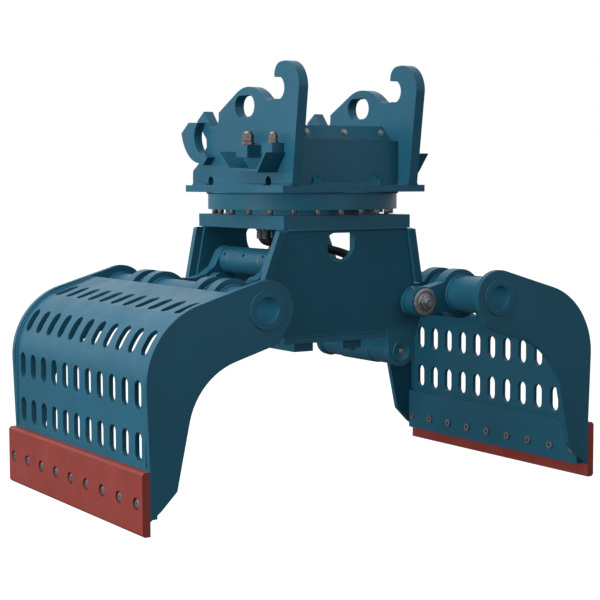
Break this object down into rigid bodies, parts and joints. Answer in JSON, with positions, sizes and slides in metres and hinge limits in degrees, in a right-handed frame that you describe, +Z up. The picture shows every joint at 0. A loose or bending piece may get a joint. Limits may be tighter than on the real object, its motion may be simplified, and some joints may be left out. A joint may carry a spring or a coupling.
{
  "type": "sorting grapple",
  "caption": "Hydraulic sorting grapple: perforated jaws with bolted blades, pivoting frame, slewing rotator and a pin-hook coupler head.",
  "frame": {"origin": "on the slewing axis, level with the lower edges of the two blades", "axes": "+X from the slewing axis to the right jaw, +Y along the pivot pins away from the picture's camera, +Z up"},
  "size_m": [1.698, 1.008, 1.372],
  "materials": {
    "blue_paint": "satin teal-blue machine paint",
    "red_paint": "matt oxide-red paint",
    "machined_steel": "machined, lightly oiled",
    "phosphated_steel": "brown-grey zinc phosphate",
    "bronze": "turned bronze",
    "cast_iron": "primed casting",
    "hose_rubber": "matt black hose cover",
    "rod_chrome": "ground hard chrome"
  },
  "bodies": {
    "frame": {"frame_side_near": "blue_paint", "frame_side_far": "blue_paint", "deck": "blue_paint", "belly_plate": "blue_paint", "belly_beams": "blue_paint", "slewing_inner_ring": "machined_steel", "slewing_balls": "machined_steel", "oil_swivel": "cast_iron", "hoses": "hose_rubber", "hose_fittings": "machined_steel", "hose_bulkhead": "blue_paint", "pivot_pins": "machined_steel", "pivot_washers": "machined_steel", "pivot_nuts": "machined_steel", "base_pin": "machined_steel", "base_pin_caps": "blue_paint"},
    "head": {"head_plate": "blue_paint", "rotator_drum": "blue_paint", "slewing_outer_ring": "machined_steel", "drum_bolts": "phosphated_steel", "ear_left": "blue_paint", "ear_right": "blue_paint", "cover_front": "blue_paint", "cover_rear": "blue_paint", "cover_lid": "blue_paint", "cover_bolts": "phosphated_steel", "wedge_claws": "blue_paint", "wedge_lugs": "blue_paint", "hose_troughs": "blue_paint", "port_blocks": "blue_paint", "oil_couplers": "phosphated_steel", "slew_motor": "cast_iron"},
    "pinion": {"slew_pinion": "machined_steel"},
    "left_jaw": {"left_side_near": "blue_paint", "left_side_far": "blue_paint", "left_shell": "blue_paint", "left_backing_strip": "blue_paint", "left_blade": "red_paint", "left_blade_bolts": "machined_steel", "left_cross_tube": "blue_paint", "left_inner_arms": "blue_paint", "left_outer_arms": "blue_paint", "left_bushes": "bronze", "left_sync_pins": "machined_steel", "rod_pin": "machined_steel", "rod_pin_sleeves": "blue_paint"},
    "right_jaw": {"right_side_near": "blue_paint", "right_side_far": "blue_paint", "right_shell": "blue_paint", "right_backing_strip": "blue_paint", "right_blade": "red_paint", "right_blade_bolts": "machined_steel", "right_cross_tube": "blue_paint", "right_inner_arms": "blue_paint", "right_outer_arms": "blue_paint", "right_bushes": "bronze", "right_sync_pins": "machined_steel"},
    "rod": {"piston_rod": "rod_chrome"},
    "cylinder": {"barrel": "blue_paint"},
    "sync_bars": {"sync_bars": "blue_paint"}
  },
  "joints": [
    {"name": "left_jaw_pivot", "type": "hinge", "parent": "frame", "child": "left_jaw", "pos_m": [-0.285, 0, 0.604], "axis": [0, -1, 0], "range_deg": [0, 62]},
    {"name": "right_jaw_pivot", "type": "hinge", "parent": "frame", "child": "right_jaw", "pos_m": [0.285, 0, 0.604], "axis": [0, 1, 0], "range_deg": [0, 62]},
    {"name": "rod_eye_pivot", "type": "hinge", "parent": "left_jaw", "child": "rod", "pos_m": [-0.1886, 0, 0.737], "axis": [0, -1, 0], "range_deg": [-55.4, 0]},
    {"name": "cylinder_stroke", "type": "slide", "parent": "rod", "child": "cylinder", "axis": [0.8186, 0, -0.5743], "range_m": [0, 0.1585]},
    {"name": "sync_bar_pivot", "type": "hinge", "parent": "left_jaw", "child": "sync_bars", "pos_m": [-0.25, 0, 0.66462], "axis": [0, -1, 0], "range_deg": [-57.9, 0]},
    {"name": "head_slew", "type": "hinge", "parent": "frame", "child": "head", "pos_m": [0, 0, 0.935], "axis": [0, 0, 1], "continuous": true},
    {"name": "pinion_spin", "type": "hinge", "parent": "head", "child": "pinion", "pos_m": [0, 0.168, 0.92], "axis": [0, 0, 1], "continuous": true}
  ],
  "couplings": [
    {"joint": "right_jaw_pivot", "follows": "left_jaw_pivot", "ratio": 1},
    {"joint": "rod_eye_pivot", "follows": "left_jaw_pivot", "ratio": -0.892},
    {"joint": "cylinder_stroke", "follows": "left_jaw_pivot", "m_per_rad": 0.1462},
    {"joint": "sync_bar_pivot", "follows": "left_jaw_pivot", "ratio": -0.933},
    {"joint": "pinion_spin", "follows": "head_slew", "ratio": -4}
  ]
}
